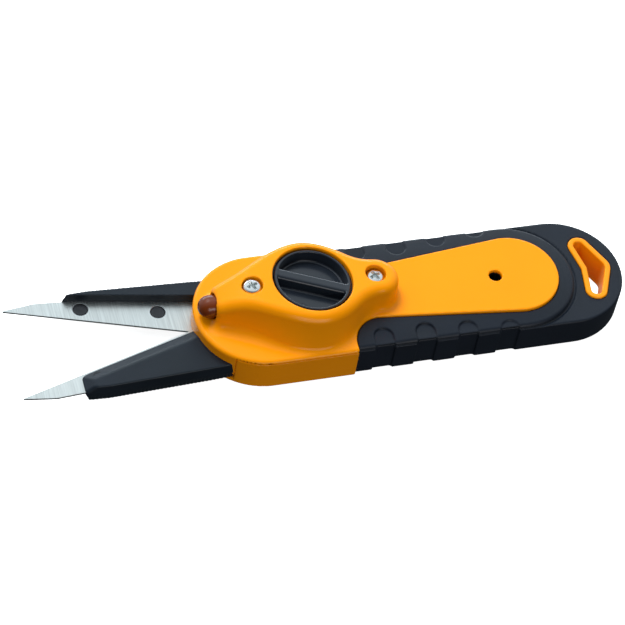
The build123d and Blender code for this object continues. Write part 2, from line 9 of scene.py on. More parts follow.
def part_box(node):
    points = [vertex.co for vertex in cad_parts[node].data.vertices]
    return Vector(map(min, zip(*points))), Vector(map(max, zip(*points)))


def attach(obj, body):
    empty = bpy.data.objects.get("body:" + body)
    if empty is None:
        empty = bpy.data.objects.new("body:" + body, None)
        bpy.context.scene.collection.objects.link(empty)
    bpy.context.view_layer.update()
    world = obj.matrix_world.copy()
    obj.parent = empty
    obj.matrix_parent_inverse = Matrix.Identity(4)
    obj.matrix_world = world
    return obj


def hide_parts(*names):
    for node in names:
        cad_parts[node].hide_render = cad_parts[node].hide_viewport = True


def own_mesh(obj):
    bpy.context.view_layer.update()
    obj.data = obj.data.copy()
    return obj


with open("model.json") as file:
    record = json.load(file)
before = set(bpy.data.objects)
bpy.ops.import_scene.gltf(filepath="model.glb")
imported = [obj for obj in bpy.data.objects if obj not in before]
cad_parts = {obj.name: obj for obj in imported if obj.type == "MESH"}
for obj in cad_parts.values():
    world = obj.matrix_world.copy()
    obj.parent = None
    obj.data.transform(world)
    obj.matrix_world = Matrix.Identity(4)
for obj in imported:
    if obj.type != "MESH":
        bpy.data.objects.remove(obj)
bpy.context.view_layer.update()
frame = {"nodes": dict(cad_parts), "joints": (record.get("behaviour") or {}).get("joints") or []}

# Shapes are worked out in millimetres, in the frame of the CAD, and written to Blender in metres.
MM = 0.001


def box_mm(node):
    low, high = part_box(node)
    return np.array(low) / MM, np.array(high) / MM


# ---------------------------------------------------------------- places taken from the frame
nose_low, nose_high = box_mm("bottom_shell")
grip_low, grip_high = box_mm("lower_grip")
pad_low, pad_high = box_mm("upper_grip")
eye_low, eye_high = box_mm("lanyard_eye")
top_low, top_high = box_mm("top_shell")
arm_low, arm_high = box_mm("right_arm")
blade_low, blade_high = box_mm("right_blade")
front_low, front_high = box_mm("front_screw")
rear_low, rear_high = box_mm("rear_screw")
well_low, well_high = box_mm("tail_screw")
lens_low, lens_high = box_mm("lamp_lens")
joints = {j["name"]: j for j in frame["joints"]}

nose_half = nose_high[1]                    # half width of the nose
nose_x = nose_low[0] + nose_half            # centre of its round front
seam_x = grip_low[0]                        # where the nose meets the rubber
grip_half = grip_high[1]
tail_x = grip_high[0] - grip_half
part_z = grip_high[2]                       # seam between lower and upper mouldings
pad_z = pad_high[2]
pad_half = pad_high[1]
pad_x = pad_high[0] - pad_half
panel_z = pad_z + 0.8
panel_front_r, panel_rear_r = 9.83, 14.9    # half widths of the panel at its two ends
panel_front_x = 20.0
core_half = 18.2
skirt_z = top_low[2]                        # lower edge of the top shell's front rim
wall_front_x = -27.5                        # front edge of the nose's side walls
grip_start_x = seam_x - 30                  # the rubber's strips start here and are cut off at the seam
screw_x = {"front": (front_low[0] + front_high[0]) / 2, "rear": (rear_low[0] + rear_high[0]) / 2,
           "tail": (well_low[0] + well_high[0]) / 2}
lens_z = (lens_low[2] + lens_high[2]) / 2
lens_r = (lens_high[2] - lens_low[2]) / 2
pivot = np.array(joints["right_arm_pivot"]["pos_m"]) / MM
cap_centre = np.array(joints["battery_cap_turn"]["pos_m"]) / MM
cap_axis = np.array(joints["battery_cap_turn"]["axis"], float)
cap_axis = cap_axis / np.linalg.norm(cap_axis)
cap_across = np.array([cap_axis[2], 0.0, -cap_axis[0]])


# ---------------------------------------------------------------- shape fields
# A field gives the distance to a surface at points x, y, z: negative inside, in millimetres.
def round_max(a, b, r):
    """Both at once, with the edge between them rounded to radius r."""
    a, b = np.broadcast_arrays(a, b)
    corner = np.hypot(np.maximum(r + a, 0), np.maximum(r + b, 0))
    return np.minimum(-r, np.maximum(a, b)) + corner


def round_min(a, b, r):
    """Either one, with a fillet of radius r where they meet."""
    return -round_max(-a, -b, r)


def smooth_min(a, b, k):
    """Either one, blended over a band k wide where they meet."""
    h = np.maximum(k - np.abs(a - b), 0) / k
    return np.minimum(a, b) - h * h * k / 4


def slab(flat, z, low, high, r_low, r_high):
    """A flat outline between two heights, with rounded edges."""
    return round_max(round_max(flat, z - high, r_high), low - z, r_low)


def circle(x, y, cx, cy, r):
    return np.hypot(x - cx, y - cy) - r


def capsule(x, y, left, right, half):
    """A strip along X with round ends."""
    along = np.clip(x, left, right)
    return np.hypot(x - along, y) - half


def tapered_capsule(x, y, left, right, r_left, r_right):
    """Two circles on the X axis and the straight sides that touch both."""
    length = right - left
    lean = (r_left - r_right) / length
    run = np.sqrt(1 - lean * lean)
    px, py = np.abs(y), x - left
    k = -lean * px + run * py
    near = np.hypot(px, py) - r_left
    far = np.hypot(px, py - length) - r_right
    side = px * run + py * lean - r_left
    return np.where(k < 0, near, np.where(k > run * length, far, side))


def polygon(x, y, points):
    """A closed outline of straight runs."""
    points = np.asarray(points, float)
    best = np.full(np.broadcast(x, y).shape, 1e9)
    inside = np.ones(best.shape)
    for a, b in zip(points, np.roll(points, 1, axis=0)):
        edge = b - a
        wx, wy = x - a[0], y - a[1]
        t = np.clip((wx * edge[0] + wy * edge[1]) / (edge @ edge), 0, 1)
        best = np.minimum(best, (wx - edge[0] * t) ** 2 + (wy - edge[1] * t) ** 2)
        above, below, left = y >= a[1], y < b[1], edge[0] * wy > edge[1] * wx
        flip = (above & below & left) | (~above & ~below & ~left)
        inside = np.where(flip, -inside, inside)
    return inside * np.sqrt(best)


def spline(xs, ys):
    """A natural cubic through the points, as a function that also runs on straight past its ends."""
    xs, ys = np.array(xs, float), np.array(ys, float)
    n, h = len(xs), np.diff(xs)
    a = np.eye(n)
    b = np.zeros(n)
    for i in range(1, n - 1):
        a[i, i - 1:i + 2] = h[i - 1], 2 * (h[i - 1] + h[i]), h[i]
        b[i] = 6 * ((ys[i + 1] - ys[i]) / h[i] - (ys[i] - ys[i - 1]) / h[i - 1])
    m = np.linalg.solve(a, b)

    def value(x):
        i = np.clip(np.searchsorted(xs, x) - 1, 0, n - 2)
        t = np.clip(x, xs[0], xs[-1])
        u, v = xs[i + 1] - t, t - xs[i]
        inner = (m[i] * u ** 3 + m[i + 1] * v ** 3) / (6 * h[i])
        return inner + (ys[i] / h[i] - m[i] * h[i] / 6) * u + (ys[i + 1] / h[i] - m[i + 1] * h[i] / 6) * v

    return value


def surface_net(field, low, high, cell):
    """A quad mesh of the field's zero surface: one point for each cell that the surface crosses."""
    axes = [np.arange(a - 1.6 * cell, b + 2.6 * cell, cell) for a, b in zip(low, high)]
    x, y, z = np.meshgrid(*axes, indexing="ij", sparse=True)
    value = np.array(np.broadcast_to(field(x, y, z), [len(a) for a in axes]), np.float32)
    rim = np.ones(value.shape, bool)
    rim[1:-1, 1:-1, 1:-1] = False
    value[rim] = np.maximum(value[rim], 0.1 * cell)
    inside = value < 0
    cells = value.size
    total, count, quads = np.zeros((3, cells)), np.zeros(cells), []
    for axis in range(3):
        step = np.eye(3, dtype=int)[axis]
        ahead = np.roll(inside, -1, axis=axis)
        edge = inside != ahead
        edge[tuple(slice(-1, None) if i == axis else slice(None) for i in range(3))] = False
        start = np.argwhere(edge)
        v0, v1 = value[tuple(start.T)], value[tuple((start + step).T)]
        point = start + (v0 / (v0 - v1))[:, None] * step
        corners = []
        for du, dw in ((0, 0), (-1, 0), (-1, -1), (0, -1)):
            cell_at = start.copy()
            cell_at[:, (axis + 1) % 3] += du
            cell_at[:, (axis + 2) % 3] += dw
            index = np.ravel_multi_index(cell_at.T, value.shape)
            corners.append(index)
            count += np.bincount(index, minlength=cells)
            for i in range(3):
                total[i] += np.bincount(index, point[:, i], minlength=cells)
        quad = np.stack(corners, 1)
        quad[v0 > 0] = quad[v0 > 0][:, ::-1]
        quads.append(quad)
    used = np.flatnonzero(count)
    place = np.zeros(cells, int)
    place[used] = np.arange(len(used))
    points = (total[:, used] / count[used]).T * cell + [a[0] for a in axes]
    return points, place[np.concatenate(quads)]


def gradient(field, p, eps=0.02):
    parts = []
    for axis in range(3):
        step = np.eye(3)[axis] * eps
        parts.append(field(*(p + step).T) - field(*(p - step).T))
    return np.stack(parts, 1) / (2 * eps)


def piece_from_field(name, field, low, high, cell, material, body, nodes, turn=None):
    """Meshes a field, draws its points onto the true surface, and stands it in for CAD nodes."""
    points, quads = surface_net(field, low, high, cell)
    for _ in range(3):
        slope = gradient(field, points)
        step = field(*points.T)[:, None] * slope / np.maximum((slope ** 2).sum(1), 0.05)[:, None]
        points = points - np.clip(step, -0.4 * cell, 0.4 * cell)
    normals = gradient(field, points)
    normals /= np.maximum(np.linalg.norm(normals, axis=1), 1e-9)[:, None]
    if turn is not None:
        points, normals = turn(points), turn(normals, True)
    mesh = bpy.data.meshes.new(name)
    mesh.from_pydata((points * MM).tolist(), [], quads.tolist())
    mesh.validate()
    mesh.shade_smooth()
    mesh.normals_split_custom_set_from_vertices(normals.tolist())
    piece = bpy.data.objects.new(name, mesh)
    bpy.context.scene.collection.objects.link(piece)
    mesh.materials.append(material)
    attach(piece, body)
    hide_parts(*nodes)
    return piece


# ---------------------------------------------------------------- materials
def node_of(tree, kind, **inputs):
    node = tree.nodes.new(kind)
    for name, value in inputs.items():
        node.inputs[name.replace("_", " ")].default_value = value
    return node


def surface(name, base, dark, roughness, spread, noise_scale, bump_scale, bump, metallic=0.0, **extra):
    """A Principled material: colour and gloss drift with slow noise, and a fine grain lies over the surface.

    base and dark are the two ends of the colour drift, spread is how far the roughness drifts,
    and the noise scales are in cycles per metre."""
    material = bpy.data.materials.new(name)
    material.use_nodes = True
    tree = material.node_tree
    shader = tree.nodes["Principled BSDF"]
    coords = tree.nodes.new("ShaderNodeTexCoord")
    slow = node_of(tree, "ShaderNodeTexNoise", Scale=noise_scale, Detail=3.0, Roughness=0.55)
    tree.links.new(coords.outputs["Object"], slow.inputs["Vector"])
    mix = tree.nodes.new("ShaderNodeMix")
    mix.data_type = "RGBA"
    mix.inputs["A"].default_value = (*dark, 1)
    mix.inputs["B"].default_value = (*base, 1)
    spread_map = node_of(tree, "ShaderNodeMapRange", From_Min=0.35, From_Max=0.65,
                         To_Min=roughness - spread, To_Max=roughness + spread)
    colour_map = node_of(tree, "ShaderNodeMapRange", From_Min=0.3, From_Max=0.7)
    tree.links.new(slow.outputs["Fac"], spread_map.inputs["Value"])
    tree.links.new(slow.outputs["Fac"], colour_map.inputs["Value"])
    tree.links.new(colour_map.outputs["Result"], mix.inputs["Factor"])
    tree.links.new(mix.outputs["Result"], shader.inputs["Base Color"])
    tree.links.new(spread_map.outputs["Result"], shader.inputs["Roughness"])
    shader.inputs["Metallic"].default_value = metallic
    if bump:
        grain = node_of(tree, "ShaderNodeTexNoise", Scale=bump_scale, Detail=2.0, Roughness=0.6)
        tree.links.new(coords.outputs["Object"], grain.inputs["Vector"])
        lift = node_of(tree, "ShaderNodeBump", Strength=bump, Distance=0.0002)
        tree.links.new(grain.outputs["Fac"], lift.inputs["Height"])
        tree.links.new(lift.outputs["Normal"], shader.inputs["Normal"])
    for socket, value in extra.items():
        shader.inputs[socket.replace("_", " ")].default_value = value
    return material


def blade_material(name, turn):
    """Ground steel: fine scratches across the blade at an angle, and a faint mottle."""
    material = surface(name, (0.86, 0.88, 0.85), (0.78, 0.81, 0.79), 0.36, 0.05, 60, 0, 0, metallic=1.0)
    tree = material.node_tree
    shader = tree.nodes["Principled BSDF"]
    coords = tree.nodes.new("ShaderNodeTexCoord")
    place = tree.nodes.new("ShaderNodeMapping")
    place.inputs["Rotation"].default_value = (0, 0, radians(turn))
    place.inputs["Scale"].default_value = (2600, 90, 90)
    grain = node_of(tree, "ShaderNodeTexNoise", Scale=1.0, Detail=2.0)
    lift = node_of(tree, "ShaderNodeBump", Strength=0.12, Distance=0.0001)
    tree.links.new(coords.outputs["Object"], place.inputs["Vector"])
    tree.links.new(place.outputs["Vector"], grain.inputs["Vector"])
    # the scratches also darken the steel a little
    shade = node_of(tree, "ShaderNodeMapRange", From_Min=0.3, From_Max=0.7, To_Min=0.84, To_Max=1.04)
    tint = tree.nodes.new("ShaderNodeVectorMath")
    tint.operation = "SCALE"
    drift = shader.inputs["Base Color"].links[0].from_socket
    tree.links.new(grain.outputs["Fac"], shade.inputs["Value"])
    tree.links.new(drift, tint.inputs[0])
    tree.links.new(shade.outputs["Result"], tint.inputs["Scale"])
    tree.links.new(tint.outputs["Vector"], shader.inputs["Base Color"])
    tree.links.new(grain.outputs["Fac"], lift.inputs["Height"])
    tree.links.new(lift.outputs["Normal"], shader.inputs["Normal"])
    return material


yellow = surface("yellow_gloss", (1.0, 0.325, 0.0005), (0.97, 0.31, 0.0005), 0.2, 0.03, 40, 2600, 0.012,
                 Specular_IOR_Level=0.2)
yellow_satin = surface("yellow_satin", (1.0, 0.325, 0.0005), (0.97, 0.31, 0.0005), 0.33, 0.04, 40, 2200, 0.05,
                       Specular_IOR_Level=0.3)
rubber = surface("black_rubber", (0.007, 0.011, 0.020), (0.005, 0.008, 0.014), 0.46, 0.05, 70, 3200, 0.10,
                 Specular_IOR_Level=0.34)
arm_plastic = surface("arm_plastic", (0.007, 0.012, 0.020), (0.005, 0.009, 0.014), 0.40, 0.05, 60, 4200, 0.14,
                      Specular_IOR_Level=0.34)
pin_plastic = surface("pin_plastic", (0.014, 0.016, 0.020), (0.010, 0.012, 0.015), 0.34, 0.05, 90, 4200, 0.08)
cap_plastic = surface("cap_gloss", (0.014, 0.019, 0.028), (0.011, 0.015, 0.022), 0.22, 0.03, 60, 2600, 0.03,
                      Coat_Weight=0.15, Coat_Roughness=0.1)
cup_plastic = surface("cup_plastic", (0.012, 0.013, 0.016), (0.009, 0.010, 0.012), 0.4, 0.04, 60, 3000, 0.06)
blade_right = blade_material("blade_steel_right", 38)
blade_left = blade_material("blade_steel_left", -38)
screw_steel = surface("screw_steel", (0.84, 0.87, 0.86), (0.74, 0.77, 0.77), 0.2, 0.05, 900, 5000, 0.05,
                      metallic=1.0)
bare_steel = surface("bare_steel", (0.62, 0.63, 0.64), (0.5, 0.51, 0.52), 0.34, 0.06, 500, 5000, 0.06,
                     metallic=1.0)
nylon = surface("nylon", (0.80, 0.79, 0.74), (0.74, 0.72, 0.67), 0.5, 0.05, 300, 3000, 0.08)
seal_rubber = surface("seal_rubber", (0.014, 0.014, 0.015), (0.009, 0.009, 0.010), 0.6, 0.05, 300, 3000, 0.1)
brass = surface("contact_brass", (0.80, 0.56, 0.22), (0.66, 0.44, 0.16), 0.3, 0.06, 600, 5000, 0.05,
                metallic=1.0)
led_epoxy = surface("led_epoxy", (0.75, 0.78, 0.74), (0.68, 0.70, 0.66), 0.15, 0.03, 300, 3000, 0.02)
board_green = surface("board_green", (0.02, 0.16, 0.05), (0.015, 0.12, 0.04), 0.45, 0.05, 900, 6000, 0.1)
red_insulation = surface("red_insulation", (0.5, 0.02, 0.015), (0.4, 0.015, 0.01), 0.4, 0.05, 300, 3000, 0.06)
black_insulation = surface("black_insulation", (0.012, 0.012, 0.013), (0.008, 0.008, 0.009), 0.4, 0.05, 300,
                           3000, 0.06)
amber = surface("amber_lens", (0.21, 0.036, 0.002), (0.15, 0.025, 0.0015), 0.24, 0.02, 120, 2000, 0.0,
                Coat_Weight=0.2, Coat_Roughness=0.12, Transmission_Weight=0.2, Specular_IOR_Level=0.4)

finishes = {
    "top_shell": yellow, "bottom_shell": yellow, "lanyard_eye": yellow,
    "upper_grip": rubber, "lower_grip": rubber,
    "right_arm": arm_plastic, "left_arm": arm_plastic, "right_pins": pin_plastic, "left_pins": pin_plastic,
    "right_blade": blade_right, "left_blade": blade_left,
    "pivot_sleeve": bare_steel, "pivot_washers": nylon, "right_spring": bare_steel, "left_spring": bare_steel,
    "battery_cap": cap_plastic, "battery_cup": cup_plastic, "cap_seal": seal_rubber, "coin_cell": bare_steel,
    "lower_contact": brass, "side_contact": brass, "lamp_lens": amber, "lamp_led": led_epoxy,
    "lamp_board": board_green, "lamp_resistor": cup_plastic, "red_wire": red_insulation,
    "black_wire": black_insulation, "front_screw": screw_steel, "rear_screw": screw_steel,
    "tail_screw": screw_steel}
for node, material in finishes.items():
    mesh = frame["nodes"][node].data
    mesh.materials.clear()
    mesh.materials.append(material)


# ---------------------------------------------------------------- plan outlines
flare_r = 9.0               # curve between the end of the nose and the panel
eye_lobe, eye_lobe_r = (94.0, 9.2), 3.6     # the lanyard eye's far lobe; the near one mirrors it
eye_mid_x, eye_mid_r = 96.8, 4.9


def nose_plan(x, y):
    front = circle(x, y, nose_x, 0, nose_half)
    return np.where(x < nose_x, front, np.abs(y) - nose_half)


def nose_end(x, y, r=0.3):
    return round_max(nose_plan(x, y), x - seam_x, r)


def panel_plan(x, y):
    """The handle's yellow panel, which flares into the end of the nose."""
    strip = tapered_capsule(x, y, panel_front_x, pad_x, panel_front_r, panel_rear_r)
    strip = np.where(x < panel_front_x, np.abs(y) - panel_front_r, strip)
    return round_min(strip, x - seam_x, flare_r)


def eye_plan(x, y):
    """Two lobes joined through a wider middle: a tapered strip from the middle to each lobe."""
    run = np.array([eye_lobe[0] - eye_mid_x, eye_lobe[1]])
    length = np.hypot(*run)
    px = (x - eye_mid_x) * run[0] / length + np.abs(y) * run[1] / length
    py = (x - eye_mid_x) * run[1] / length - np.abs(y) * run[0] / length
    return tapered_capsule(px, py, 0, length, eye_mid_r, eye_lobe_r)


# ---------------------------------------------------------------- yellow top shell
stations = [-34, -30.5, -27, -22, -15, -8, -1, 6, 11, 15.5, 20.6, 24]
foot_half = spline(stations, [5.4, 6.0, 7.3, 10.0, 15.0, 18.6, 19.9, 18.3, 14.9, 10.8, 7.9, 7.5])
crown_half = spline(stations, [4.0, 4.9, 5.7, 7.4, 11.1, 14.4, 16.0, 14.5, 11.6, 8.4, 6.9, 6.8])
crown_line = spline([-34, -30.5, -27, -23, -19.5, -14, -6, 0, 12, 20.6, 26],
                    [19.8, 21.3, 22.8, 24.1, 24.75, 24.98, 24.7, 24.3, 23.45, 22.8, 22.3])
boss_front_x, boss_rear_x = -31.3, 21.2
boss_foot_z, boss_crown_z = 12.0, 23.5
flank_curve = 1.25          # how soon the flank draws in above the foot
crown_round = 2.8
front_blend, foot_blend = 3.6, 1.5      # fillet between boss and plate, at the front and along the sides
plate_mid_z, plate_fall = 12.75, 0.4
cap_hole_r, cup_hole_r, cup_lip = 12.75, 13.95, 2.1     # cap's hole, the wider bore below it, and its depth
well_r = 3.25
well_floor = {"front": front_high[2] - 2.0, "rear": rear_high[2] - 2.0, "tail": 4.2}
tail_hole_r, tail_tube_r = 2.15, 3.45
tail_tube_z = 3.4           # foot of the tube round the tail screw's well
climb_from, climb_run = 8, 12   # where the plate rises to the panel behind the boss
core_floor_z = 9.5          # underside of the top shell behind the seam
lens_seat_gap, scoop_gap, scoop_depth = 0.12, 0.35, 0.45
lens_seat_x = wall_front_x - 0.1
rim_rear_x = wall_front_x - 0.03
hollow_wall = 3.5


def boss_flank(x, y, z):
    """Distance to the boss's side: wide at the foot, drawing in fast, then steep up to the crown."""
    def half(px, pz):
        t = np.clip((pz - boss_foot_z) / (boss_crown_z - boss_foot_z), 0, 1)
        return foot_half(px) + (crown_half(px) - foot_half(px)) * (1 - (1 - t) ** flank_curve)

    step = 0.25
    at = np.minimum(x, boss_rear_x)
    along = (half(at + step, z) - half(at - step, z)) / (2 * step) * (x < boss_rear_x)
    up = (half(at, z + step) - half(at, z - step)) / (2 * step)
    reach = np.where(x < boss_rear_x, np.abs(y), np.hypot(x - boss_rear_x, y))
    return (reach - half(at, z)) / np.sqrt(1 + along ** 2 + up ** 2)


def boss_form(x, y, z):
    slope = (crown_line(x + 0.25) - crown_line(x - 0.25)) / 0.5
    top = (z - crown_line(x) + 0.0008 * y ** 2) / np.sqrt(1 + slope ** 2)
    form = round_max(boss_flank(x, y, z), top, crown_round)
    return round_max(form, boss_front_x - x, 1.3)


def cap_frame(x, y, z):
    """Height above the cap's plane and distance from its axis."""
    px, py, pz = x - cap_centre[0], y - cap_centre[1], z - cap_centre[2]
    up = px * cap_axis[0] + py * cap_axis[1] + pz * cap_axis[2]
    return up, np.sqrt(np.maximum(px ** 2 + py ** 2 + pz ** 2 - up ** 2, 0))


def top_shell_form(x, y, z):
    plan = nose_plan(x, y)
    # the nose plate falls gently to its rim, and behind it the surface climbs to the panel
    share = np.clip(1 + plan / nose_half, 0, 1)
    climb = np.clip((x - climb_from) / climb_run, 0, 1)
    climb = climb * climb * (3 - 2 * climb)
    plate_top = plate_mid_z - plate_fall * share ** 3
    ground = z - (plate_top + (panel_z - plate_top) * climb)
    blend = front_blend + (foot_blend - front_blend) * np.clip((x + 24) / 12, 0, 1)
    form = smooth_min(ground, boss_form(x, y, z), blend)
    form = round_max(form, plan, 1.35)
    form = round_max(form, panel_plan(x, y), 0.45)
    under = np.maximum(skirt_z - z, np.minimum(part_z + 0.02 - z, x - rim_rear_x))
    under = np.where(x > seam_x, core_floor_z - z, under)
    form = round_max(form, under, 0.3)
    hollow = np.maximum(nose_plan(x, y) + hollow_wall, z - part_z)
    form = np.maximum(form, -np.maximum(hollow, x - seam_x + 4))
    tube = np.maximum(circle(x, y, screw_x["tail"], 0, tail_tube_r), np.maximum(tail_tube_z - z, z - part_z))
    form = np.minimum(form, tube)
    # hole for the battery cap, wells for the screws, seat for the lamp
    up, away = cap_frame(x, y, z)
    form = round_max(form, cap_hole_r - away, 0.45)
    form = np.maximum(form, -np.maximum(away - cup_hole_r, up + cup_lip))
    for place in ("front", "rear"):
        well = np.maximum(circle(x, y, screw_x[place], 0, well_r), well_floor[place] - z)
        form = round_max(form, -well, 0.3)
    well = np.maximum(circle(x, y, screw_x["tail"], 0, tail_hole_r), well_floor["tail"] - z)
    form = round_max(form, -well, 0.3)
    seat = np.hypot(y, z - lens_z) - lens_r - lens_seat_gap
    form = np.maximum(form, -np.maximum(seat, x - lens_seat_x))
    scoop = np.hypot(y, z - lens_z - 0.2) - lens_r - scoop_gap
    scoop = np.maximum(scoop, x - boss_front_x - scoop_depth)
    return round_max(form, -scoop, 0.35)


# ---------------------------------------------------------------- yellow bottom shell
floor_t, wall = 1.4, 2.0
panel_t = 3.0               # the flat panel under the handle


def bottom_shell_form(x, y, z):
    shell = slab(nose_end(x, y), z, 0, part_z - 0.02, 0.6, 0.3)
    inside = np.maximum(nose_plan(x, y) + wall, np.maximum(floor_t - z, x - seam_x - 2))
    mouth = np.maximum(x - wall_front_x, floor_t - z)
    shell = round_max(shell, -mouth, 0.35)
    shell = np.maximum(shell, -inside)
    panel = slab(panel_plan(x, y), z, 0, panel_t, 0.3, 0.1)
    panel = np.maximum(np.maximum(panel, seam_x - 2 - x), nose_plan(x, y) + 0.3)
    return np.minimum(shell, panel)


# ---------------------------------------------------------------- rubber handle
# dimples: place along the handle, and the far end of the slot from the middle plane
dimple_at = [(19.96, 14.0), (33.67, 14.2), (47.38, 15.6), (61.09, 17.4)]
dimple_half = 3.15
dimple_wall = grip_half - 0.9
dimple_floor = pad_z - 0.85
panel_slot_z = 2.5          # the rubber is open round the lower panel up to here


def dimples(x, y, z):
    """Finger dimples: round-ended slots in the top that run on down the side."""
    best = np.full(np.broadcast(x, y, z).shape, 99.0)
    open_to = np.minimum(dimple_floor - z, dimple_wall - np.abs(y))
    for at, end in dimple_at:
        across = np.hypot(x - at, np.minimum(np.abs(y) - end - dimple_half, 0)) - dimple_half
        best = np.minimum(best, round_max(across, open_to, 0.5))
    return best


def lower_grip_form(x, y, z):
    body = slab(capsule(x, y, grip_start_x, tail_x, grip_half), z, 0, part_z - 0.04, 0.9, 0.7)
    body = round_max(body, seam_x + 0.06 - x, 0.35)
    groove = np.hypot(capsule(x, y, grip_start_x, pad_x, pad_half) - 0.25, z - part_z - 0.1) - 0.55
    body = round_max(body, -groove, 0.2)
    pocket = np.maximum(capsule(x, y, grip_start_x, pad_x, core_half), floor_t - z)
    body = np.maximum(body, -pocket)
    body = round_max(body, np.where(z > panel_slot_z, -99.0, 0.0) + 0.1 - panel_plan(x, y), 0.2)
    body = round_max(body, 0.06 - eye_plan(x, y), 0.3)
    return round_max(body, -dimples(x, y, z), 0.4)


pad_flat, pad_lift, pad_fall = 8.0, 0.25, 0.9


def upper_grip_form(x, y, z):
    # the pad is crowned, so it falls away towards its edge
    plan = capsule(x, y, grip_start_x, pad_x, pad_half)
    reach = np.clip((pad_half + plan - pad_flat) / (pad_half - pad_flat), 0, 1)
    crown = pad_z + pad_lift - pad_fall * reach ** 2
    pad = slab(plan, z, part_z, crown, 0.15, 1.2)
    pad = round_max(pad, seam_x + 0.06 - x, 0.35)
    pad = round_max(pad, 0.13 - panel_plan(x, y), 0.35)
    return round_max(pad, -dimples(x, y, z), 0.4)


eye_wall = 1.9


def lanyard_eye_form(x, y, z):
    plan = eye_plan(x, y)
    rim = slab(plan, z, 0, eye_high[2], 0.3, 0.6)
    return round_max(rim, -(plan + eye_wall), 0.6)


# ---------------------------------------------------------------- arms
edge_x = -40.27             # where the two cutting edges cross
edge_sin, edge_cos = sin(radians(17)), cos(radians(17))
turn_z = pivot[2]
blade_low_z = blade_low[2]
cover_back = 1.1            # cover's edge, back from the cutting edge at the blade
cover_lean = 4.4            # and how much further back it is at the outer face
tip_x, tip_lean = -75.0, 3.4
outer_side = [(-80, 18.65), (-75, 18.9), (-67, 19.3), (-35, 17.9), (-27.8, 17.45)]
arm_rear_x = -27.8
rib_pitch, rib_depth, rib_low_z = 1.2, 0.07, 5.6
draft_run = 0.14            # how much the outer side draws in, per mm from the blade's height
spine_y, spine_run, spine_flat = 18.4, 0.165, 2.5      # inner edge of the raised spine, from the tip back
root_corners = [(-28.2, -0.9), (-28.2, 14.6), (-25, 14.6), (-14.5, 6.2), (-14, -5.8), (-20, -7.9)]
heel_corners = [(-22, -6.5), (-11.2, -9.2), (-5, -9.2), (-5, -7), (-11.2, -7), (-13, -2)]


def arm_form(x, y, z):
    """The right arm; the left one is the same part turned over."""
    drop = (blade_low_z - z) / (blade_low_z - arm_low[2])
    run = blade_low_z - arm_low[2]
    edge = (x - edge_x) * edge_sin + y * edge_cos
    front = (cover_back + cover_lean * drop - edge) / np.hypot(1, cover_lean / run)
    front = np.where(z > blade_low_z, cover_back - edge, front)
    tip = (tip_x + tip_lean * np.abs(drop) - x) / np.hypot(1, tip_lean / run)
    tip = np.where(z > blade_low_z, tip_x + 0.3 * (z - blade_low_z) - x, tip)
    facet = -0.62 * (x - tip_x - 1.5) - 0.79 * (y - 12.0)
    draft = draft_run * np.abs(z - turn_z)
    ribs = rib_depth * np.cos(2 * np.pi * x / rib_pitch) * np.clip((z - rib_low_z) / 0.8, 0, 1)
    side = y - np.interp(x, *zip(*outer_side)) + draft + rib_depth - ribs
    spine = spine_y - spine_run * np.maximum(x - tip_x, spine_flat) - y
    top = round_max(np.minimum(z - blade_low_z, spine), z - arm_high[2], 0.2)
    arm = round_max(side, tip, 1.1)
    arm = round_max(arm, round_max(front, facet, 0.2), 0.35)
    arm = round_max(arm, round_max(top, arm_low[2] - z, 0.2), 0.45)
    arm = np.maximum(arm, x - arm_rear_x)
    root = np.minimum(polygon(x, y, root_corners), circle(x, y, pivot[0], 0, 8.0))
    root = np.minimum(root, polygon(x, y, heel_corners))
    root = slab(root, z, arm_low[2] + 0.15, turn_z - 0.2, 0.15, 0.15)
    pad = np.maximum(np.abs(x + 8) - 3, np.abs(y + 8.1) - 1.1)
    pad = slab(pad, z, arm_low[2] + 0.15, arm_high[2] - 0.15, 0.2, 0.2)
    arm = np.minimum(arm, np.minimum(root, pad))
    return np.maximum(arm, 4.06 - np.hypot(x - pivot[0], y))


def turned_over(p, is_direction=False):
    centre = 0.0 if is_direction else 2 * turn_z
    return np.stack([p[:, 0], -p[:, 1], centre - p[:, 2]], 1)


# ---------------------------------------------------------------- battery cap
cap_r, cap_sink, pocket_depth, cap_head = 12.1, 0.5, 4.1, 5.3
bar_turn = radians(-22.5)
bar_half = 1.9
arrow_r, arrow_from, arrow_to = 8.8, radians(187), radians(236)


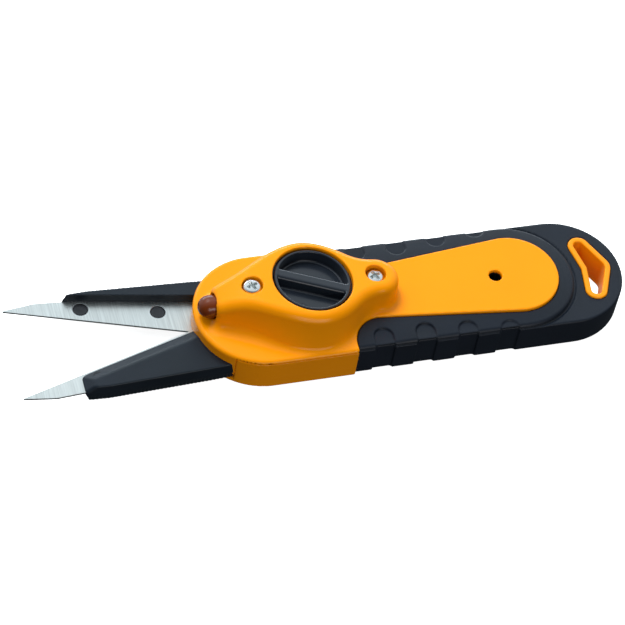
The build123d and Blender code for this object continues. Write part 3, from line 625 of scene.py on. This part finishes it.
def cap_form(u, v, w):
    """The cap in its own frame: w is measured up from the lip of its hole."""
    away = np.hypot(u, v)
    floor = -cap_sink - pocket_depth
    body = slab(away - cap_r, w, -cap_sink - cap_head, -cap_sink, 0.3, 0.45)
    pocket = round_max(away - 10.9 - 0.06 * (w - floor), floor - w, 0.6)
    body = round_max(body, -pocket, 0.35)
    across = -u * sin(bar_turn) + v * cos(bar_turn)
    bar = round_max(np.abs(across) - bar_half - 0.10 * (-cap_sink - w), w + cap_sink + 0.15, 1.15)
    bar = np.maximum(np.maximum(bar, away - 11.4), floor - 0.3 - w)
    body = smooth_min(body, bar, 0.7)
    turn = np.arctan2(v, u) % (2 * np.pi)
    turn_in = np.clip(turn, arrow_from, arrow_to)
    shaft = np.hypot(u - arrow_r * np.cos(turn_in), v - arrow_r * np.sin(turn_in)) - 0.32
    shaft = round_max(shaft, w - floor - 0.5, 0.2)
    tip = arrow_to + 0.16
    along = -(u - arrow_r * np.cos(tip)) * sin(tip) + (v - arrow_r * np.sin(tip)) * cos(tip)
    aside = (u - arrow_r * np.cos(tip)) * cos(tip) + (v - arrow_r * np.sin(tip)) * sin(tip)
    head = np.maximum(-along - 1.4, (along - 1.6 + 1.9 * np.abs(aside)) / np.hypot(1, 1.9))
    head = round_max(head, w - floor - 0.9 + 0.15 * np.abs(aside), 0.25)
    raised = np.maximum(np.minimum(shaft, head), floor - 0.2 - w)
    body = np.minimum(body, raised)
    neck = slab(away - 11.0, w, -9.5, -cap_sink - cap_head + 0.1, 0.3, 0.1)
    groove = np.maximum(np.abs(w + cap_sink + cap_head + 1.1) - 0.4, 10.15 - away)
    neck = np.maximum(neck, -groove)
    lugs = np.maximum(np.maximum(away - 12.15, np.abs(v) - 2.5), np.abs(w + 8.75) - 0.6)
    return np.minimum(np.minimum(body, neck), lugs)


pin_at = [(-69.5, 14.3), (-45.8, 9.4)]
pin_r = 2.35
pin_top_z = blade_high[2] - 0.05


def pins_form(x, y, z):
    """Two locating pins whose ends show in the blade's holes, each a little dished."""
    best = np.full(np.broadcast(x, y, z).shape, 99.0)
    for at_x, at_y in pin_at:
        away = np.hypot(x - at_x, y - at_y)
        dish = pin_top_z - 0.1 * np.exp(-(away / 1.2) ** 2)
        best = np.minimum(best, round_max(away - pin_r, z - dish, 0.35))
    return np.maximum(best, blade_low_z - 1.4 - z)


def into_cap_frame(p, is_direction=False):
    turned = p[:, :1] * cap_across + p[:, 1:2] * np.array([0.0, 1.0, 0.0]) + p[:, 2:] * cap_axis
    return turned if is_direction else turned + cap_centre


# ---------------------------------------------------------------- lens and screws
def lens_form(x, y, z):
    dome_x = lens_low[0] + lens_r
    away = np.hypot(y, z - lens_z)
    dome = np.hypot(np.minimum(x - dome_x, 0), away) - lens_r
    inner = np.hypot(np.minimum(x - dome_x - 0.2, 0), away) - lens_r + 0.9
    return np.maximum(np.maximum(dome, x - lens_high[0]), -inner)


def screw_form(low, high, head_r, head_t, shank_r):
    """A pan-head screw with a cross recess, as a field about its own axis."""
    def form(x, y, z):
        away = np.hypot(x, y)
        crown = np.hypot(away, z - high + 2.6 * head_r) - 2.6 * head_r
        head = round_max(round_max(away - head_r, crown, 0.42 * head_t), high - head_t - z, 0.12)
        depth = (high - z) / (0.7 * head_t)
        arm = 0.62 * head_r * (1.02 - 0.45 * depth)
        thick = 0.165 * head_r * (1.05 - 0.35 * depth)
        cross = np.minimum(np.maximum(np.abs(x) - arm, np.abs(y) - thick),
                           np.maximum(np.abs(y) - arm, np.abs(x) - thick))
        cross = np.minimum(cross, np.abs(x) + np.abs(y) - 0.26 * head_r)
        head = round_max(head, -np.maximum(cross, high - 0.75 * head_t - z), 0.1)
        shank = np.maximum(away - shank_r, np.maximum(low - z, z - high + head_t))
        return np.minimum(head, shank)
    return form


def moved(dx, turn):
    """Turns a piece about its own axis and stands it at x = dx on the middle plane."""
    c, s = cos(turn), sin(turn)

    def place(p, is_direction=False):
        q = np.stack([p[:, 0] * c - p[:, 1] * s, p[:, 0] * s + p[:, 1] * c, p[:, 2]], 1)
        return q if is_direction else q + np.array([dx, 0.0, 0.0])
    return place


def coil(name, node, body):
    """A return spring swept along its helix, fixed to the housing; its length stays the same as its arm
    closes.
    """
    low, high = box_mm(node)
    wire, turns, ends = 0.3, 4.0, 0.45
    radius = (high[0] - low[0]) / 2 - wire
    count, sides = 160, 10
    s = np.linspace(0, 1, count)
    around = 2 * np.pi * (turns + 2 * ends) * s
    rise = np.clip((s - 0.09) / 0.82, 0, 1)
    mid = (low + high) / 2
    y0, y1 = low[1] + wire, high[1] - wire
    along = y0 + (y1 - y0) * rise
    line = np.stack([mid[0] + radius * np.cos(around), along, mid[2] + radius * np.sin(around)], 1)
    out = np.stack([np.cos(around), 0 * s, np.sin(around)], 1)
    ahead = np.gradient(line, axis=0)
    ahead /= np.linalg.norm(ahead, axis=1)[:, None]
    side = np.cross(ahead, out)
    points, faces = [], []
    for j in range(sides):
        a = 2 * np.pi * j / sides
        points.append(line + wire * (np.cos(a) * out + np.sin(a) * side))
    points = np.stack(points, 1).reshape(-1, 3)
    for i in range(count - 1):
        for j in range(sides):
            k = (j + 1) % sides
            faces.append((i * sides + j, i * sides + k, (i + 1) * sides + k, (i + 1) * sides + j))
    faces.append(tuple(range(sides)))
    faces.append(tuple((count - 1) * sides + j for j in reversed(range(sides))))
    mesh = bpy.data.meshes.new(name)
    mesh.from_pydata((points * MM).tolist(), [], faces)
    mesh.validate()
    mesh.shade_smooth()
    mesh.materials.append(bare_steel)
    piece = bpy.data.objects.new(name, mesh)
    bpy.context.scene.collection.objects.link(piece)
    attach(piece, body)
    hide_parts(node)
    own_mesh(piece)


def paint_well_shade(piece):
    """Painted shade: below the panel, the faces of the yellow shell's tail screw well take a dark plastic,
    standing in for the shade deep in the hole.
    """
    piece.data.materials.append(cup_plastic)
    for face in piece.data.polygons:
        px, py, pz = (c / MM for c in face.center)
        if np.hypot(px - screw_x["tail"], py) < tail_hole_r + 0.25 and pz < panel_z - 1.1:
            face.material_index = 1


def hole_rims(name, body, turn):
    """The bright chamfer round each hole of a blade."""
    rings = [(pin_r + 0.08, -0.25), (pin_r + 0.14, 0.0), (pin_r + 0.26, 0.015), (pin_r + 0.42, 0.0)]
    count = 48
    a = np.linspace(0, 2 * np.pi, count, endpoint=False)
    points, faces = [], []
    for at_x, at_y in pin_at:
        start = len(points) * count
        for r, rise in rings:
            height = np.full(count, blade_high[2] + rise)
            points.append(np.stack([at_x + r * np.cos(a), at_y + r * np.sin(a), height], 1))
        for i in range(len(rings) - 1):
            for j in range(count):
                k = (j + 1) % count
                low, up = start + i * count, start + (i + 1) * count
                faces.append((low + j, up + j, up + k, low + k))
    points = np.concatenate(points)
    if turn is not None:
        points = turn(points)
    mesh = bpy.data.meshes.new(name)
    mesh.from_pydata((points * MM).tolist(), [], faces)
    mesh.validate()
    mesh.shade_smooth()
    mesh.materials.append(screw_steel)
    piece = bpy.data.objects.new(name, mesh)
    bpy.context.scene.collection.objects.link(piece)
    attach(piece, body)


# ---------------------------------------------------------------- pieces
pins_low, pins_high = (-72, 7, 2.8), (-43.4, 16.7, 5)
panel_rear_x = 83.5
# name, field, corners of its box, cell size, material, body, CAD node, and how it is turned into place
pieces = [
    ("top_shell_form", top_shell_form, top_low, top_high, 0.5, yellow, "housing", "top_shell", None),
    ("bottom_shell_form", bottom_shell_form, (nose_low[0], -nose_half, 0), (panel_rear_x, nose_half, part_z),
     0.5, yellow, "housing", "bottom_shell", None),
    ("lower_grip_form", lower_grip_form, grip_low, grip_high, 0.5, rubber, "housing", "lower_grip", None),
    ("upper_grip_form", upper_grip_form, pad_low, pad_high, 0.4, rubber, "housing", "upper_grip", None),
    ("lanyard_eye_form", lanyard_eye_form, eye_low, eye_high, 0.35, yellow_satin, "housing", "lanyard_eye",
     None),
    ("right_arm_form", arm_form, arm_low, arm_high, 0.3, arm_plastic, "right_arm", "right_arm", None),
    ("left_arm_form", arm_form, arm_low, arm_high, 0.3, arm_plastic, "left_arm", "left_arm", turned_over),
    ("right_pins_form", pins_form, pins_low, pins_high, 0.2, pin_plastic, "right_arm", "right_pins", None),
    ("left_pins_form", pins_form, pins_low, pins_high, 0.2, pin_plastic, "left_arm", "left_pins",
     turned_over),
    ("battery_cap_form", cap_form, (-cap_r, -cap_r, -9.5), (cap_r, cap_r, -cap_sink), 0.25, cap_plastic,
     "cap", "battery_cap", into_cap_frame),
    ("lamp_lens_form", lens_form, lens_low, lens_high, 0.25, amber, "housing", "lamp_lens", None)]
for name, low, high, head_t, shank, turn in (("front", front_low, front_high, 2.0, 1.46, 20),
                                             ("rear", rear_low, rear_high, 2.0, 1.46, 24),
                                             ("tail", well_low, well_high, 1.3, 0.96, 10)):
    r = (high[0] - low[0]) / 2
    cell = 0.12 if name == "tail" else 0.16
    field = screw_form(low[2], high[2], r, head_t, shank)
    pieces.append((name + "_screw_form", field, (-r, -r, low[2]), (r, r, high[2]), cell, screw_steel,
                   "housing", name + "_screw", moved(screw_x[name], radians(turn))))
for name, field, low, high, cell, material, body, node, turn in pieces:
    piece = piece_from_field(name, field, low, high, cell, material, body, [node], turn)
    if node == "top_shell":
        # painted shade: the top shell's tail screw well is given a dark plastic below the panel
        paint_well_shade(piece)
hole_rims("right_hole_rims", "right_arm", None)
hole_rims("left_hole_rims", "left_arm", turned_over)
coil("right_spring_coil", "right_spring", "housing")
coil("left_spring_coil", "left_spring", "housing")


# ---------------------------------------------------------------- camera, floor and light
def add_camera():
    """The camera looks down on the tool from its left side, rolled a little, from about 0.8 m away."""
    azimuth, elevation, roll = radians(-23.49), radians(50.68), radians(11.06)
    distance, aim_right, aim_up = 812.4 * MM, 1.184 * MM, -3.507 * MM
    seam = Vector((0, 0, 12.7 * MM))
    back = Vector((sin(azimuth) * cos(elevation), -cos(azimuth) * cos(elevation), sin(elevation)))
    right = Vector((cos(azimuth), sin(azimuth), 0))
    up = back.cross(right)
    right_r = cos(roll) * right + sin(roll) * up
    up_r = -sin(roll) * right + cos(roll) * up
    data = bpy.data.cameras.new("camera")
    data.lens = 149.43
    data.sensor_width = 36.0
    data.clip_start, data.clip_end = 0.01, 10.0
    camera = bpy.data.objects.new("camera", data)
    bpy.context.scene.collection.objects.link(camera)
    place = seam + aim_right * right_r + aim_up * up_r + distance * back
    turn = Matrix((right_r, up_r, back)).transposed()
    camera.matrix_world = Matrix.Translation(place) @ turn.to_4x4()
    bpy.context.scene.camera = camera


def add_light(name, place, target, size, power, colour=(1, 1, 1)):
    data = bpy.data.lights.new(name, "AREA")
    data.shape = "RECTANGLE"
    data.size, data.size_y = size
    data.energy = power
    data.color = colour
    light = bpy.data.objects.new(name, data)
    bpy.context.scene.collection.objects.link(light)
    light.location = place
    light.rotation_euler = (Vector(target) - Vector(place)).to_track_quat("-Z", "Y").to_euler()
    return light


def add_stage():
    """A pale floor, a soft world that is brighter overhead and on the far side, and three soft lights."""
    half = 3.0              # of the floor, in metres
    mesh = bpy.data.meshes.new("floor")
    corners = [(-half, -half, 0), (half, -half, 0), (half, half, 0), (-half, half, 0)]
    mesh.from_pydata(corners, [], [(0, 1, 2, 3)])
    floor = bpy.data.objects.new("floor", mesh)
    bpy.context.scene.collection.objects.link(floor)
    floor.location.z = -0.0002
    floor.visible_glossy = False
    floor.visible_diffuse = False
    material = bpy.data.materials.new("floor_white")
    material.use_nodes = True
    shader = material.node_tree.nodes["Principled BSDF"]
    shader.inputs["Base Color"].default_value = (0.95, 0.95, 0.95, 1)
    shader.inputs["Roughness"].default_value = 0.9
    shader.inputs["Specular IOR Level"].default_value = 0.1
    shader.inputs["Emission Color"].default_value = (1, 1, 1, 1)
    shader.inputs["Emission Strength"].default_value = 0.9
    mesh.materials.append(material)
    world = bpy.data.worlds.new("studio")
    bpy.context.scene.world = world
    world.use_nodes = True
    tree = world.node_tree
    background = tree.nodes["Background"]
    coords = tree.nodes.new("ShaderNodeTexCoord")
    toward = tree.nodes.new("ShaderNodeVectorMath")
    toward.operation = "DOT_PRODUCT"
    toward.inputs[1].default_value = Vector((0.0, 0.85, 0.52)).normalized()
    ramp = tree.nodes.new("ShaderNodeMapRange")
    ramp.interpolation_type = "SMOOTHSTEP"
    ramp.inputs["From Min"].default_value = -0.25
    ramp.inputs["From Max"].default_value = 0.95
    ramp.inputs["To Min"].default_value = 0.06
    ramp.inputs["To Max"].default_value = 1.0
    tree.links.new(coords.outputs["Generated"], toward.inputs[0])
    tree.links.new(toward.outputs["Value"], ramp.inputs["Value"])
    tree.links.new(ramp.outputs["Result"], background.inputs["Strength"])
    background.inputs["Color"].default_value = (0.84, 0.94, 1.0, 1)
    key = add_light("key", (-0.2, 0.5, 1.05), (0, 0, 0.01), (0.6, 0.5), 11.5)
    key.visible_glossy = False      # the steel mirrors the sky and not the lamp
    add_light("rim", (0.15, 1.3, 0.30), (0, 0, 0.01), (1.8, 0.25), 6, (0.82, 0.92, 1.0))
    add_light("fill", (0.1, -0.9, 0.35), (0, 0, 0.01), (0.9, 0.4), 3.2)
    bpy.context.scene.view_settings.view_transform = "Standard"


add_camera()
add_stage()
